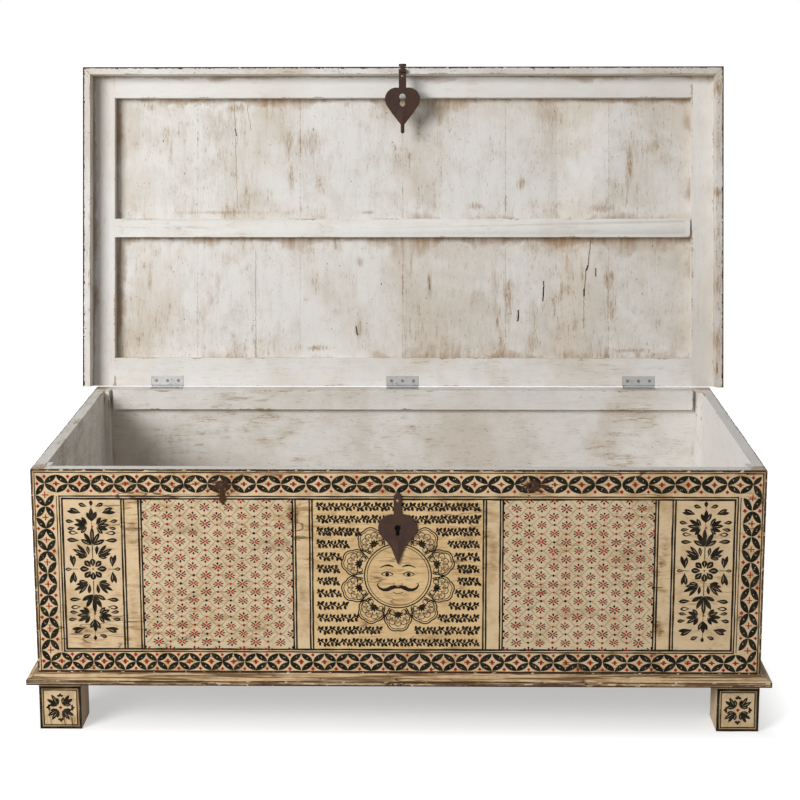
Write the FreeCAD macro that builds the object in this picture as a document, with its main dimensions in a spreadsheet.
import FreeCAD, Part
import os
import re

# Trunk coffee table: a painted wooden trunk on block feet, with a framed lid on three butt hinges,
# an iron hasp that hangs from the lid's lip and an iron lock plate on the front wall.
# Millimetres. +Z is up and the front faces -Y. The origin is on the floor, under the middle of the whole
# table with its lid open.
# The lid stands open on its hinges, and the hasp hangs straight down.

doc = FreeCAD.newDocument("TrunkCoffeeTable")

# Driving sizes
SIZES = {
    # trunk walls, measured outside
    "body_width": 1200,
    "body_depth": 600,
    "wall_height": 350,
    "wall_thickness": 20,
    # moulded plinth under the walls
    "plinth_height": 16,
    "plinth_nose": 9,
    "plinth_overhang": 17,
    "plinth_ledge": 24,
    # block feet and their dowels
    "foot_width": 70,
    "foot_depth": 66,
    "foot_height": 84,
    "dowel_radius": 6,
    "dowel_depth": 30,
    "dowel_inset": 22,
    "dowel_edge": 12,
    # inside of the trunk
    "bottom_thickness": 14,
    "post_width": 10,
    "post_depth": 22,
    "back_rail_height": 38,
    "back_rail_thickness": 14,
    "back_rail_end_gap": 6,
    # nails
    "nail_radius": 1.3,
    "nail_head_radius": 2.6,
    "nail_head_height": 1,
    "nail_length": 26,
    "post_nail_edge": 60,
    "lip_nail_edge": 80,
    "batten_nail_edge": 12,
    # lid
    "open_angle": 100,
    "lid_gap": 0.5,
    "lid_frame_thickness": 22,
    "lid_board_thickness": 12,
    "stile_width": 42,
    "front_rail_width": 42,
    "rear_rail_width": 55,
    "batten_width": 36,
    "batten_end_gap": 3,
    "lip_thickness": 14,
    "lip_drop": 36,
    "lip_clearance": 8,
    # butt hinges and their screws
    "hinge_end_distance": 138,
    "hinge_width": 62,
    "leaf_reach": 21,
    "leaf_thickness": 1.5,
    "knuckle_radius": 3,
    "knuckle_gap": 0.3,
    "hinge_pin_radius": 1.5,
    "pin_clearance": 0.08,
    "pin_offset": 1,
    "mortise_clearance": 0.5,
    "screw_spacing": 21.5,
    "screw_set_back": 11.5,
    "screw_head_radius": 3.2,
    "screw_shank_radius": 1.4,
    "screw_length": 12,
    # hasp, its pin and its staple
    "barrel_inset": 9,
    "barrel_drop": 6,
    "barrel_radius": 4,
    "hasp_pin_radius": 1.6,
    "strap_width": 14.4,
    "strap_gap": 0.6,
    "hasp_thickness": 3,
    "hasp_heart_drop": 54,
    "hasp_lobe_radius": 22,
    "hasp_lobe_offset": 12,
    "hasp_tip_drop": 51,
    "hasp_tail_width": 7.4,
    "hasp_tail_drop": 60,
    "hasp_slot_radius": 6.2,
    "hasp_slot_foot_radius": 5.2,
    "hasp_slot_waist": 8,
    "hasp_slot_length": 12,
    "hasp_slot_rise": 4,
    "hasp_rivet_drop": 10,
    "staple_width": 8.6,
    "staple_thickness": 2.5,
    "staple_height": 22,
    "staple_stud_rise": 12,
    "staple_stud_radius": 7.4,
    "staple_stud_height": 4,
    # lock plate
    "lock_thickness": 3,
    "lock_heart_drop": 98,
    "lock_lobe_radius": 23,
    "lock_lobe_offset": 9.2,
    "lock_tip_drop": 62,
    "lock_strap_width": 13.4,
    "lock_strap_rise": 52,
    "lock_finial_width": 4.4,
    "lock_finial_rise": 63,
    "lock_rivet_rise": 46,
    "keyhole_radius": 4.9,
    "keyhole_slot_width": 5.4,
    "keyhole_slot_drop": 13,
    # rivets and the studs of older fittings
    "rivet_head_radius": 3,
    "rivet_head_height": 1.6,
    "rivet_shank_radius": 1.6,
    "rivet_shank_length": 14,
    "rivet_clearance": 0.05,
    "stud_head_radius": 5,
    "stud_head_height": 2,
    "stud_drop": 27,
    "left_stud_end_distance": 313,
    "right_stud_end_distance": 378,
}
BOTTOM_BOARD_COUNT = 3
LID_BOARD_COUNT = 6
HINGE_KNUCKLE_COUNT = 5
POST_NAIL_COUNT = 3
FRONT_LIP_NAIL_COUNT = 6
SIDE_LIP_NAIL_COUNT = 4

# Sizes worked out from the driving sizes. Trunk places are measured from the floor under the trunk's middle,
# lid places from the hinge pins with the lid shut, and hasp places from the axis of the hasp's barrel.
DERIVED = {
    "half_width": "body_width / 2",
    "half_depth": "body_depth / 2",
    "inner_width": "body_width - 2 * wall_thickness",
    "inner_depth": "body_depth - 2 * wall_thickness",
    "wall_base": "foot_height + plinth_height",
    "wall_top": "wall_base + wall_height",
    "bottom_top": "wall_base + bottom_thickness",
    "hinge_place": "half_width - hinge_end_distance",
    "hinge_y": "half_depth + pin_offset",
    "hinge_z": "wall_top + lid_gap / 2",
    "lid_half_width": "half_width + lip_clearance + lip_thickness",
    "lid_front": "-(pin_offset + body_depth + lip_clearance + lip_thickness)",
    "lid_rear": "-pin_offset",
    "lid_under": "lid_gap / 2",
    "frame_half_width": "half_width + lip_clearance",
    "frame_front": "lid_front + lip_thickness",
    "frame_depth": "body_depth + lip_clearance",
    "frame_top": "lid_under + lid_frame_thickness",
    "board_top": "frame_top + lid_board_thickness",
    "board_width": f"2 * frame_half_width / {LID_BOARD_COUNT}",
    "opening_width": "2 * (frame_half_width - stile_width)",
    "opening_front": "frame_front + front_rail_width",
    "opening_depth": "frame_depth - front_rail_width - rear_rail_width",
    "batten_middle": "opening_front + opening_depth / 2",
    "lip_edge": "lid_under - lip_drop",
    "barrel_y": "lid_front + barrel_inset",
    "barrel_z": "lip_edge - barrel_drop",
    "hasp_y": "hinge_y + barrel_y * cos(open_angle) + barrel_z * sin(open_angle)",
    "hasp_z": "hinge_z - barrel_y * sin(open_angle) + barrel_z * cos(open_angle)",
    "lock_z": "wall_top - lock_heart_drop",
    "screw_y": "hinge_y - screw_set_back",
    "rear_end": "hinge_y + lid_front * cos(open_angle) + board_top * sin(open_angle)",
    "depth_middle": "(rear_end - half_depth - plinth_overhang) / 2",
}

sheet = doc.addObject("Spreadsheet::Sheet", "Sizes")
for row, (alias, value) in enumerate(SIZES.items(), start=1):
    sheet.set(f"A{row}", alias)
    sheet.set(f"B{row}", str(value))
    sheet.setAlias(f"B{row}", alias)
doc.recompute()

nodes = []


def expand(text):
    """Writes an expression out in terms of the sheet's cells."""
    def word(match):
        name = match.group(0)
        if name in DERIVED:
            return f"({expand(DERIVED[name])})"
        return f"Sizes.{name}" if name in SIZES else name
    return re.sub(r"[A-Za-z_]\w*", word, str(text))


def bind(thing, **sizes):
    """Ties properties of an object to expressions."""
    for name, text in sizes.items():
        thing.setExpression(name, expand(text))


# Turn about -X that points a piece's own Z along a direction of its frame
TURNS = {"z": 0, "y": 90, "-z": 180, "-y": -90}


def place(thing, frame, x, y, z, along="z"):
    """Puts a piece in the trunk's, the lid's, the hasp's or a pattern's frame, its own Z along a direction."""
    if along in ("x", "-x"):
        side = 90 if along == "x" else -90
        turned = FreeCAD.Rotation(FreeCAD.Vector(0, 1, 0), side)
        thing.Placement = FreeCAD.Placement(FreeCAD.Vector(), turned)
    else:
        turn = f"{TURNS[along]} + open_angle" if frame == "lid" else str(TURNS[along])
        turned = FreeCAD.Rotation(FreeCAD.Vector(-1, 0, 0), 45)
        thing.Placement = FreeCAD.Placement(FreeCAD.Vector(), turned)
        thing.setExpression("Placement.Rotation.Angle", expand(turn))
    if frame == "lid":
        y, z = (f"hinge_y + ({y}) * cos(open_angle) + ({z}) * sin(open_angle)",
                f"hinge_z - ({y}) * sin(open_angle) + ({z}) * cos(open_angle)")
    elif frame == "hasp":
        y, z = f"hasp_y + ({y})", f"hasp_z + ({z})"
    if frame != "pattern":
        y = f"{y} - depth_middle"
    for axis, text in zip("xyz", (x, y, z)):
        thing.setExpression(f"Placement.Base.{axis}", expand(text))
    return thing


def add(kind, label):
    thing = doc.addObject(kind, label)
    thing.Label = label
    return thing


def box(label, frame, x, y, z, length, width, height):
    """Block from its lowest corner."""
    thing = add("Part::Box", label)
    bind(thing, Length=length, Width=width, Height=height)
    return place(thing, frame, x, y, z)


def rod(label, frame, along, x, y, z, radius, length):
    """Cylinder from the middle of its first end."""
    thing = add("Part::Cylinder", label)
    bind(thing, Radius=radius, Height=length)
    return place(thing, frame, x, y, z, along)


def tapered(label, frame, along, x, y, z, low, high, run, height):
    """Prism whose width goes from low to high over its run, both given as half widths about x."""
    thing = add("Part::Wedge", label)
    bind(thing, Xmin=f"-({low})", Xmax=low, X2min=f"-({high})", X2max=high, Ymin=0, Ymax=run)
    bind(thing, Zmin=0, Zmax=height, Z2min=0, Z2max=height)
    return place(thing, frame, x, y, z, along)


def cut(label, base, *tools):
    """Takes each tool out of the base."""
    for index, tool in enumerate(tools, start=1):
        last = index == len(tools)
        thing = add("Part::Cut", label if last else f"{label}_stage_{index}")
        thing.Base, thing.Tool = base, tool
        base = thing
    return base


def fuse(label, *pieces):
    thing = add("Part::MultiFuse", label)
    thing.Shapes = list(pieces)
    thing.Refine = True
    return thing


def common(label, first, second):
    thing = add("Part::Common", label)
    thing.Base, thing.Tool = first, second
    return thing


def copies(label, pattern, places):
    """Group of separate copies of one fastener. Each place is (frame, along, x, y, z)."""
    links = []
    for index, (frame, along, x, y, z) in enumerate(places, start=1):
        link = add("App::Link", f"{label}_copy_{index}")
        link.LinkedObject = pattern
        links.append(place(link, frame, x, y, z, along))
    thing = add("Part::Compound", label)
    thing.Links = links
    return thing


def keep(*things):
    """Marks finished sub-parts."""
    nodes.extend(things)
    return things[0]


def dome(label, radius, height):
    """Low round head that rises along Z from its flat face."""
    ball = add("Part::Sphere", label)
    curve = f"(({radius}) ^ 2 + ({height}) ^ 2) / (2 * ({height}))"
    bind(ball, Radius=curve, Angle1=f"asin(1 - ({height}) / ({curve}))")
    return place(ball, "pattern", 0, 0, f"({height}) - {curve}")


def headed_pin(label, head, shank_radius, shank_length):
    """Head that rises from the piece's own Z=0 plane, with its shank below that plane."""
    shank = rod(f"{label}_shank", "pattern", "-z", 0, 0, 0, shank_radius, shank_length)
    return fuse(label, head, shank)


SIDES = {"left": -1, "right": 1}
ENDS = {"front": -1, "back": 1}


def spread(count, length):
    """Places of a row of fasteners, the same distance apart, about the middle of a length."""
    return [f"({length}) * {index - (count - 1) / 2} / {max(count - 1, 1)}" for index in range(count)]


# Fasteners, each made once at the origin with its shank along Z
nail = fuse(
    "nail",
    rod("nail_head", "pattern", "z", 0, 0, 0, "nail_head_radius", "nail_head_height"),
    rod("nail_shank", "pattern", "z", 0, 0, 0, "nail_radius", "nail_length"),
)
screw_head = add("Part::Cone", "screw_head")
bind(screw_head, Radius1="screw_head_radius", Radius2="screw_shank_radius", Height="leaf_thickness")
screw_shank = rod("screw_shank", "pattern", "z", 0, 0, 0, "screw_shank_radius", "screw_length")
screw = fuse("screw", screw_head, screw_shank)

# Plinth: a moulded ring, cut into four members at the mitres
plinth_width = "plinth_overhang + wall_thickness + plinth_ledge"
plinth_half_width = "half_width + plinth_overhang"
plinth_half_depth = "half_depth + plinth_overhang"
nose = box("plinth_nose_slab", "trunk", f"-({plinth_half_width})", f"-({plinth_half_depth})", "foot_height",
           f"2 * ({plinth_half_width})", f"2 * ({plinth_half_depth})", "plinth_nose")
bevel = add("Part::Wedge", "plinth_bevel")
bind(bevel, Xmin=f"-({plinth_half_width})", Xmax=plinth_half_width, X2min="-half_width", X2max="half_width",
     Zmin=f"-({plinth_half_depth})", Zmax=plinth_half_depth, Z2min="-half_depth", Z2max="half_depth",
     Ymin=0, Ymax="plinth_height - plinth_nose")
place(bevel, "trunk", 0, 0, "foot_height + plinth_nose", "-y")
well = box("plinth_well", "trunk", "-(inner_width / 2 - plinth_ledge)", "-(inner_depth / 2 - plinth_ledge)",
           "foot_height", "inner_width - 2 * plinth_ledge", "inner_depth - 2 * plinth_ledge", "plinth_height")
ring = cut("plinth_ring", fuse("plinth_block", nose, bevel), well)
plinth_inner_half = f"{plinth_half_width} - ({plinth_width})"
sectors = {
    "front": tapered("plinth_front_sector", "trunk", "z", 0, f"-({plinth_half_depth})", "foot_height",
                     plinth_half_width, plinth_inner_half, plinth_width, "plinth_height"),
    "back": tapered("plinth_back_sector", "trunk", "z", 0, f"{plinth_half_depth} - ({plinth_width})",
                    "foot_height", plinth_inner_half, plinth_half_width, plinth_width, "plinth_height"),
}
halves = {
    side: box(f"plinth_{side}_half", "trunk", 0 if sign > 0 else f"-({plinth_half_width})",
              f"-({plinth_half_depth})", "foot_height", plinth_half_width, f"2 * ({plinth_half_depth})",
              "plinth_height")
    for side, sign in SIDES.items()
}

# Feet, and the dowels that hold them to the plinth
dowel = rod("dowel", "pattern", "z", 0, 0, 0, "dowel_radius", "dowel_depth + plinth_height")
dowel_places = []
for end, end_sign in ENDS.items():
    for side, side_sign in SIDES.items():
        for x, y in (("half_width - foot_width + dowel_edge", "half_depth - dowel_inset"),
                     ("half_width - dowel_inset", "half_depth - foot_depth + dowel_edge")):
            dowel_places.append(("trunk", "z", f"{side_sign} * ({x})", f"{end_sign} * ({y})",
                                 "foot_height - dowel_depth"))
foot_dowels = keep(copies("foot_dowels", dowel, dowel_places))
for end in ENDS:
    for side in SIDES:
        x = "-half_width" if side == "left" else "half_width - foot_width"
        y = "-half_depth" if end == "front" else "half_depth - foot_depth"
        block = box(f"foot_{end}_{side}_blank", "trunk", x, y, 0, "foot_width", "foot_depth", "foot_height")
        keep(cut(f"foot_{end}_{side}", block, foot_dowels))

# Bottom boards on the plinth's ledge, nailed at both ends
board_depth = f"inner_depth / {BOTTOM_BOARD_COUNT}"
bottom_nail_places = []
for index in range(BOTTOM_BOARD_COUNT):
    for side_sign in SIDES.values():
        for share in (1, 3):
            bottom_nail_places.append(("trunk", "-z", f"{side_sign} * (inner_width - plinth_ledge) / 2",
                                       f"-inner_depth / 2 + {index + share / 4} * {board_depth}", "bottom_top"))
bottom_nails = keep(copies("bottom_nails", nail, bottom_nail_places))
for index, where in enumerate(("front", "middle", "back")):
    board = box(f"bottom_board_{where}_blank", "trunk", "-inner_width / 2",
                f"-inner_depth / 2 + {index} * {board_depth}", "wall_base",
                "inner_width", board_depth, "bottom_thickness")
    keep(cut(f"bottom_board_{where}", board, bottom_nails))
for end, sector in sectors.items():
    keep(cut(f"plinth_{end}", common(f"plinth_{end}_blank", ring, sector), foot_dowels, bottom_nails))
for side, half in halves.items():
    member = cut(f"plinth_{side}_blank", common(f"plinth_{side}_part", ring, half), *sectors.values())
    keep(cut(f"plinth_{side}", member, foot_dowels, bottom_nails))

# Corner posts inside the trunk, nailed to the front and back walls
post_nail_places = []
for end_sign, along in ((-1, "-y"), (1, "y")):
    for side_sign in SIDES.values():
        for z in spread(POST_NAIL_COUNT, "wall_height - bottom_thickness - 2 * post_nail_edge"):
            post_nail_places.append(("trunk", along, f"{side_sign} * (inner_width - post_width) / 2",
                                     f"{end_sign} * (inner_depth / 2 - post_depth)",
                                     f"(bottom_top + wall_top) / 2 + {z}"))
post_nails = keep(copies("post_nails", nail, post_nail_places))
for end in ENDS:
    for side in SIDES:
        x = "-inner_width / 2" if side == "left" else "inner_width / 2 - post_width"
        y = "-inner_depth / 2" if end == "front" else "inner_depth / 2 - post_depth"
        post = box(f"corner_post_{end}_{side}_blank", "trunk", x, y, "bottom_top",
                   "post_width", "post_depth", "wall_height - bottom_thickness")
        keep(cut(f"corner_post_{end}_{side}", post, post_nails))

# Rail along the top inside of the back wall
rail_length = "inner_width - 2 * (post_width + back_rail_end_gap)"
keep(box("back_top_rail", "trunk", f"-({rail_length}) / 2", "inner_depth / 2 - back_rail_thickness",
         "wall_top - back_rail_height", rail_length, "back_rail_thickness", "back_rail_height"))

# Butt hinges: each has a leaf let into the back wall, a leaf let into the lid's rear rail, and a pin
HINGES = {"left": "-hinge_place", "middle": "0", "right": "hinge_place"}
knuckle_length = f"hinge_width / {HINGE_KNUCKLE_COUNT}"
body_screw_places = []
lid_screw_places = []
for middle in HINGES.values():
    for step in (-1, 0, 1):
        x = f"{middle} + {step} * screw_spacing"
        body_screw_places.append(("trunk", "-z", x, "screw_y", "wall_top"))
        lid_screw_places.append(("lid", "z", x, "-screw_set_back", "lid_under"))
body_leaf_screws = keep(copies("body_leaf_screws", screw, body_screw_places))
lid_leaf_screws = keep(copies("lid_leaf_screws", screw, lid_screw_places))


def hinge_leaf(label, frame, middle, pin_y, pin_z, low, first, screws):
    """Leaf with every second knuckle, its plate's lower face at a height beside the pin."""
    root = "knuckle_radius + knuckle_gap"
    pieces = [box(f"{label}_plate", frame, f"{middle} - hinge_width / 2", f"{pin_y} - leaf_reach", low,
                  "hinge_width", f"leaf_reach - ({root})", "leaf_thickness")]
    for index in range(first, HINGE_KNUCKLE_COUNT, 2):
        x = f"{middle} - hinge_width / 2 + {index} * {knuckle_length} + knuckle_gap / 2"
        length = f"{knuckle_length} - knuckle_gap"
        pieces.append(box(f"{label}_tongue_{index}", frame, x, f"{pin_y} - ({root})", low,
                          length, root, "leaf_thickness"))
        pieces.append(rod(f"{label}_knuckle_{index}", frame, "x", x, pin_y, pin_z, "knuckle_radius", length))
    bore = rod(f"{label}_bore", frame, "x", f"{middle} - hinge_width / 2", pin_y, pin_z,
               "hinge_pin_radius + pin_clearance", "hinge_width")
    return cut(label, fuse(f"{label}_solid", *pieces), bore, screws)


def hinge_mortise(label, frame, middle, pin_y, pin_z, leaf_low, up):
    """Space for a leaf and its knuckles, open on the wood's rear face and on the face with the leaf."""
    x = f"{middle} - hinge_width / 2 - mortise_clearance"
    width = "hinge_width + 2 * mortise_clearance"
    clear = "knuckle_radius + mortise_clearance"
    notch_low = f"{pin_z} - ({clear})" if up else pin_z
    gap_low = f"{leaf_low} + leaf_thickness" if up else f"{leaf_low} - lid_gap / 2"
    seat_front = f"{pin_y} - leaf_reach"
    return fuse(
        label,
        box(f"{label}_seat", frame, x, seat_front, leaf_low, width, "leaf_reach", "leaf_thickness"),
        box(f"{label}_notch", frame, x, f"{pin_y} - ({clear})", notch_low, width, clear, clear),
        box(f"{label}_opening", frame, x, seat_front, gap_low, width, "leaf_reach", "lid_gap / 2"),
    )


wall_mortises = []
rail_mortises = []
for where, middle in HINGES.items():
    keep(hinge_leaf(f"hinge_{where}_body_leaf", "trunk", middle, "hinge_y", "hinge_z",
                    "wall_top - leaf_thickness", 0, body_leaf_screws))
    keep(hinge_leaf(f"hinge_{where}_lid_leaf", "lid", middle, "0", "0", "lid_under", 1, lid_leaf_screws))
    keep(rod(f"hinge_{where}_pin", "trunk", "x", f"{middle} - hinge_width / 2", "hinge_y", "hinge_z",
             "hinge_pin_radius", "hinge_width"))
    wall_mortises.append(hinge_mortise(f"wall_mortise_{where}", "trunk", middle, "hinge_y", "hinge_z",
                                       "wall_top - leaf_thickness", True))
    rail_mortises.append(hinge_mortise(f"rail_mortise_{where}", "lid", middle, "0", "0", "lid_under", False))

# Iron lock plate on the front wall: a heart under a riveted strap with a finial


def heart(label, frame, y, z, lobe_radius, lobe_offset, tip_drop, thickness):
    """Two round lobes and a point drawn tangent to them. z is the height of the lobes' centres."""
    reach = f"sqrt(({lobe_offset}) ^ 2 + ({tip_drop}) ^ 2)"
    lean = f"(atan(({lobe_offset}) / ({tip_drop})) + asin(({lobe_radius}) / {reach}))"
    shoulder = f"({lobe_offset}) + ({lobe_radius}) * cos({lean})"
    fall = f"({lobe_radius}) * sin({lean})"
    pieces = [rod(f"{label}_lobe_{side}", frame, "y", f"{sign} * ({lobe_offset})", y, z, lobe_radius, thickness)
              for side, sign in SIDES.items()]
    pieces.append(tapered(f"{label}_point", frame, "y", 0, y, f"{z} - {fall}", shoulder, 0,
                          f"({tip_drop}) - {fall}", thickness))
    return pieces


def rivet(label, frame, y, z, shank_length):
    """Dome-headed rivet driven in from the front."""
    head = dome(f"{label}_head", "rivet_head_radius", "rivet_head_height")
    pattern = headed_pin(f"{label}_pattern", head, "rivet_shank_radius", shank_length)
    return copies(label, pattern, [(frame, "-y", 0, y, z)])


lock_front = "-half_depth - lock_thickness"
lock_rivet = keep(rivet("lock_plate_rivet", "trunk", lock_front, "lock_z + lock_rivet_rise", "rivet_shank_length"))
lock_solid = fuse(
    "lock_plate_solid",
    *heart("lock_plate_heart", "trunk", lock_front, "lock_z", "lock_lobe_radius", "lock_lobe_offset",
           "lock_tip_drop", "lock_thickness"),
    box("lock_plate_strap", "trunk", "-lock_strap_width / 2", lock_front, "lock_z",
        "lock_strap_width", "lock_thickness", "lock_strap_rise"),
    rod("lock_plate_crown", "trunk", "y", 0, lock_front, "lock_z + lock_strap_rise", "lock_strap_width / 2",
        "lock_thickness"),
    box("lock_plate_finial", "trunk", "-lock_finial_width / 2", lock_front, "lock_z + lock_strap_rise",
        "lock_finial_width", "lock_thickness", "lock_finial_rise - lock_strap_rise - lock_finial_width / 2"),
    rod("lock_plate_finial_tip", "trunk", "y", 0, lock_front, "lock_z + lock_finial_rise - lock_finial_width / 2",
        "lock_finial_width / 2", "lock_thickness"),
)
keyhole = fuse(
    "keyhole",
    rod("keyhole_eye", "trunk", "y", 0, lock_front, "lock_z", "keyhole_radius", "lock_thickness"),
    box("keyhole_slot", "trunk", "-keyhole_slot_width / 2", lock_front, "lock_z - keyhole_slot_drop",
        "keyhole_slot_width", "lock_thickness", "keyhole_slot_drop"),
)
rivet_hole = rod("lock_plate_rivet_hole", "trunk", "y", 0, lock_front, "lock_z + lock_rivet_rise",
                 "rivet_shank_radius + rivet_clearance", "rivet_shank_length")
keep(cut("lock_plate", lock_solid, keyhole, rivet_hole))

# Studs of older fittings, left in the top border of the front wall
stud_pattern = headed_pin("stud", dome("stud_head", "stud_head_radius", "stud_head_height"),
                          "rivet_shank_radius", "rivet_shank_length")
stud_holes = []
for side, sign in SIDES.items():
    x = f"{sign} * (half_width - {side}_stud_end_distance)"
    keep(copies(f"old_stud_{side}", stud_pattern, [("trunk", "-y", x, "-half_depth", "wall_top - stud_drop")]))
    stud_holes.append(rod(f"old_stud_{side}_hole", "trunk", "y", x, "-half_depth", "wall_top - stud_drop",
                          "rivet_shank_radius + rivet_clearance", "rivet_shank_length"))

# Walls, mitred at the corners: front and back are tapered boards, and the sides are cut to meet them
front_blank = tapered("front_panel_blank", "trunk", "z", 0, "-half_depth", "wall_base",
                      "half_width", "inner_width / 2", "wall_thickness", "wall_height")
back_blank = tapered("back_panel_blank", "trunk", "z", 0, "inner_depth / 2", "wall_base",
                     "inner_width / 2", "half_width", "wall_thickness", "wall_height")
keep(cut("front_panel", front_blank, post_nails, rivet_hole, *stud_holes))
keep(cut("back_panel", back_blank, post_nails, *wall_mortises, body_leaf_screws))
for side in SIDES:
    x = "-half_width" if side == "left" else "inner_width / 2"
    wall = box(f"{side}_panel_blank", "trunk", x, "-half_depth", "wall_base",
               "wall_thickness", "body_depth", "wall_height")
    keep(cut(f"{side}_panel", wall, front_blank, back_blank))

# Lid boards, front to back, nailed to the frame under them
BOARD_MIDDLES = [f"-frame_half_width + {index + 0.5} * board_width" for index in range(LID_BOARD_COUNT)]
lid_nail_rows = ("frame_front + front_rail_width / 2", "batten_middle", "lid_rear - rear_rail_width / 2")
lid_nails = keep(copies("lid_nails", nail, [
    ("lid", "-z", x, y, "board_top") for x in BOARD_MIDDLES for y in lid_nail_rows
]))
batten_nails = keep(copies("batten_nails", nail, [
    ("lid", "z", f"{sign} * (opening_width / 2 - batten_end_gap - batten_nail_edge)",
     f"batten_middle + {row} * (batten_width / 2 - batten_nail_edge / 2)", "lid_under")
    for sign in SIDES.values() for row in (-1, 1)
]))
for index in range(LID_BOARD_COUNT):
    board = box(f"lid_board_{index + 1}_blank", "lid", f"-frame_half_width + {index} * board_width",
                "frame_front", "frame_top", "board_width", "frame_depth", "lid_board_thickness")
    keep(cut(f"lid_board_{index + 1}", board, lid_nails, batten_nails))

# Lip round the front and sides of the lid, mitred at the front corners and nailed to the frame
nail_level = "lid_under + lid_frame_thickness / 2"
lip_height = "lip_drop + lid_frame_thickness + lid_board_thickness"
lip_nail_places = [("lid", "y", x, "lid_front", nail_level)
                   for x in spread(FRONT_LIP_NAIL_COUNT, "2 * (lid_half_width - lip_nail_edge)")]
for side, along in (("left", "x"), ("right", "-x")):
    for y in spread(SIDE_LIP_NAIL_COUNT, "frame_depth - 2 * lip_nail_edge"):
        lip_nail_places.append(("lid", along, f"{SIDES[side]} * lid_half_width",
                                f"(frame_front + lid_rear) / 2 + {y}", nail_level))
lip_nails = keep(copies("lip_nails", nail, lip_nail_places))
stud_place = ("lid", "y", 0, "lid_front - staple_thickness", "lip_edge + staple_stud_rise")
staple_stud_pattern = fuse(
    "staple_stud_pattern",
    rod("staple_stud_head", "pattern", "-z", 0, 0, 0, "staple_stud_radius", "staple_stud_height"),
    rod("staple_stud_shank", "pattern", "z", 0, 0, 0, "rivet_shank_radius", "staple_thickness + lip_thickness"),
)
staple_stud = keep(copies("hasp_staple_stud", staple_stud_pattern, [stud_place]))
lip_front_blank = tapered("lid_lip_front_blank", "lid", "z", 0, "lid_front", "lip_edge",
                          "lid_half_width", "frame_half_width", "lip_thickness", lip_height)
keep(cut("lid_lip_front", lip_front_blank, lip_nails, staple_stud))
for side in SIDES:
    x = "-lid_half_width" if side == "left" else "frame_half_width"
    strip = box(f"lid_lip_{side}_blank", "lid", x, "lid_front", "lip_edge",
                "lip_thickness", "frame_depth + lip_thickness", lip_height)
    keep(cut(f"lid_lip_{side}", strip, lip_front_blank, lip_nails))

# Lid frame: stiles from front to back, rails and a batten between them
for side in SIDES:
    x = "-frame_half_width" if side == "left" else "frame_half_width - stile_width"
    stile = box(f"lid_{side}_stile_blank", "lid", x, "frame_front", "lid_under",
                "stile_width", "frame_depth", "lid_frame_thickness")
    keep(cut(f"lid_{side}_stile", stile, lip_nails))
front_rail = box("lid_front_rail_blank", "lid", "-opening_width / 2", "frame_front", "lid_under",
                 "opening_width", "front_rail_width", "lid_frame_thickness")
keep(cut("lid_front_rail", front_rail, lip_nails, lid_nails))
rear_rail = box("lid_rear_rail_blank", "lid", "-opening_width / 2", "lid_rear - rear_rail_width", "lid_under",
                "opening_width", "rear_rail_width", "lid_frame_thickness")
keep(cut("lid_rear_rail", rear_rail, *rail_mortises, lid_leaf_screws, lid_nails))
batten = box("lid_batten_blank", "lid", "-opening_width / 2", "batten_middle - batten_width / 2", "lid_under",
             "opening_width - batten_end_gap", "batten_width", "lid_frame_thickness")
keep(cut("lid_batten", batten, lid_nails, batten_nails))

# Staple on the lip that carries the hasp: a strap bent under the lip's edge, ending in a knuckle
staple_solid = fuse(
    "hasp_staple_solid",
    box("hasp_staple_leg", "lid", "-staple_width / 2", "lid_front - staple_thickness", "lip_edge - staple_thickness",
        "staple_width", "staple_thickness", "staple_thickness + staple_height"),
    box("hasp_staple_foot", "lid", "-staple_width / 2", "lid_front - staple_thickness", "lip_edge - staple_thickness",
        "staple_width", "staple_thickness + barrel_inset", "staple_thickness"),
    box("hasp_staple_neck", "lid", "-staple_width / 2", "barrel_y - barrel_radius / 2", "barrel_z",
        "staple_width", "barrel_radius / 2", "barrel_drop - staple_thickness"),
    rod("hasp_staple_knuckle", "lid", "x", "-staple_width / 2", "barrel_y", "barrel_z", "barrel_radius",
        "staple_width"),
)
staple_bore = rod("hasp_staple_bore", "lid", "x", "-staple_width / 2", "barrel_y", "barrel_z",
                  "hasp_pin_radius + pin_clearance", "staple_width")
keep(cut("hasp_staple", staple_solid, staple_bore, staple_stud))

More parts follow.
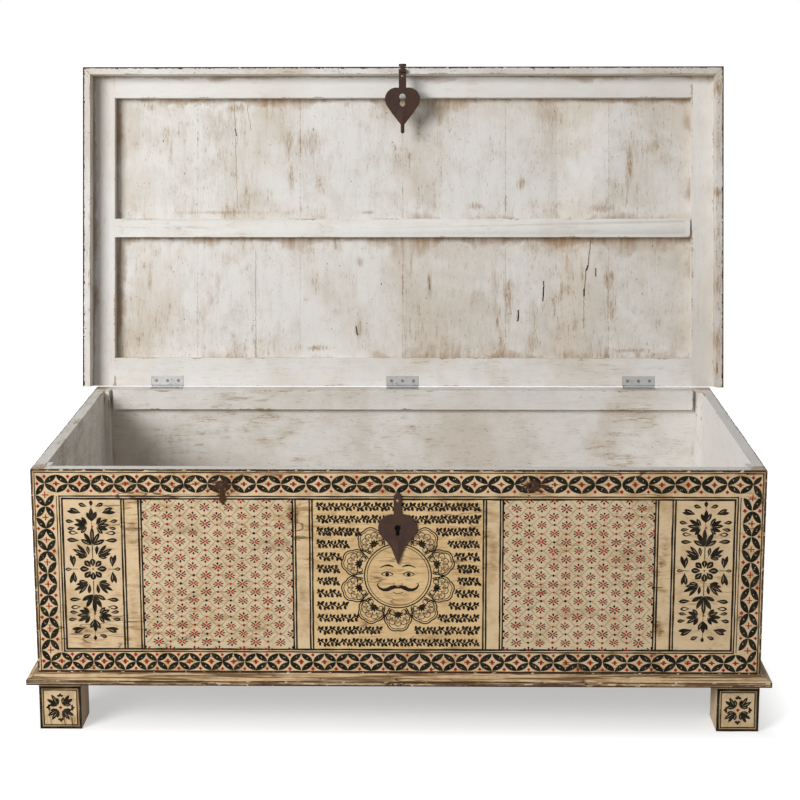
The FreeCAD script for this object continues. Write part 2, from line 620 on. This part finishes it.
# Hasp: a strap with two knuckles on the pin, widening to a heart with a slot and a finger tail
keep(rod("hasp_pin", "hasp", "x", "-strap_width / 2", 0, 0, "hasp_pin_radius", "strap_width"))
hasp_front = "-hasp_thickness / 2"
strap_top = "-(barrel_radius + strap_gap)"
lug_width = "(strap_width - staple_width) / 2 - knuckle_gap"
hasp_pieces = heart("hasp_heart", "hasp", hasp_front, "-hasp_heart_drop", "hasp_lobe_radius", "hasp_lobe_offset",
                    "hasp_tip_drop", "hasp_thickness")
hasp_pieces.append(box("hasp_strap", "hasp", "-strap_width / 2", hasp_front, "-hasp_heart_drop", "strap_width",
                       "hasp_thickness", f"hasp_heart_drop + {strap_top}"))
for side in SIDES:
    x = "-strap_width / 2" if side == "left" else f"strap_width / 2 - ({lug_width})"
    hasp_pieces.append(box(f"hasp_lug_{side}", "hasp", x, hasp_front, strap_top, lug_width, "hasp_thickness",
                           f"-({strap_top})"))
    hasp_pieces.append(rod(f"hasp_knuckle_{side}", "hasp", "x", x, 0, 0, "barrel_radius", lug_width))
tail_end = "-(hasp_heart_drop + hasp_tail_drop)"
hasp_pieces.append(box("hasp_tail", "hasp", "-hasp_tail_width / 2", hasp_front, tail_end, "hasp_tail_width",
                       "hasp_thickness", "hasp_tail_drop"))
hasp_pieces.append(rod("hasp_tail_end", "hasp", "y", 0, hasp_front, tail_end, "hasp_tail_width / 2",
                       "hasp_thickness"))
slot_top = "-hasp_heart_drop + hasp_slot_rise"
hasp_slot = fuse(
    "hasp_slot",
    rod("hasp_slot_eye", "hasp", "y", 0, hasp_front, slot_top, "hasp_slot_radius", "hasp_thickness"),
    rod("hasp_slot_foot", "hasp", "y", 0, hasp_front, f"{slot_top} - hasp_slot_length", "hasp_slot_foot_radius",
        "hasp_thickness"),
    box("hasp_slot_waist", "hasp", "-hasp_slot_waist / 2", hasp_front, f"{slot_top} - hasp_slot_length",
        "hasp_slot_waist", "hasp_thickness", "hasp_slot_length"),
)
hasp_bore = rod("hasp_bore", "hasp", "x", "-strap_width / 2", 0, 0, "hasp_pin_radius + pin_clearance", "strap_width")
hasp_rivet_hole = rod("hasp_rivet_hole", "hasp", "y", 0, hasp_front, "-hasp_rivet_drop",
                      "rivet_shank_radius + rivet_clearance", "hasp_thickness")
keep(cut("hasp", fuse("hasp_solid", *hasp_pieces), hasp_slot, hasp_bore, hasp_rivet_hole))
keep(rivet("hasp_rivet", "hasp", hasp_front, "-hasp_rivet_drop", "hasp_thickness"))

# Every object must have come out right before anything is written
doc.recompute()
faults = [thing.Label for thing in doc.Objects if {"Invalid", "Error"} & set(thing.State)]
for node in nodes:
    if node.Shape.isNull() or not node.Shape.isValid() or not node.Shape.Solids:
        faults.append(node.Label)
if faults:
    raise RuntimeError(f"objects that failed: {', '.join(faults)}")

os.makedirs("parts", exist_ok=True)
for node in nodes:
    node.Shape.exportStep(f"parts/{node.Label}.step")
print(f"{len(nodes)} sub-parts, {sum(len(node.Shape.Solids) for node in nodes)} solids")
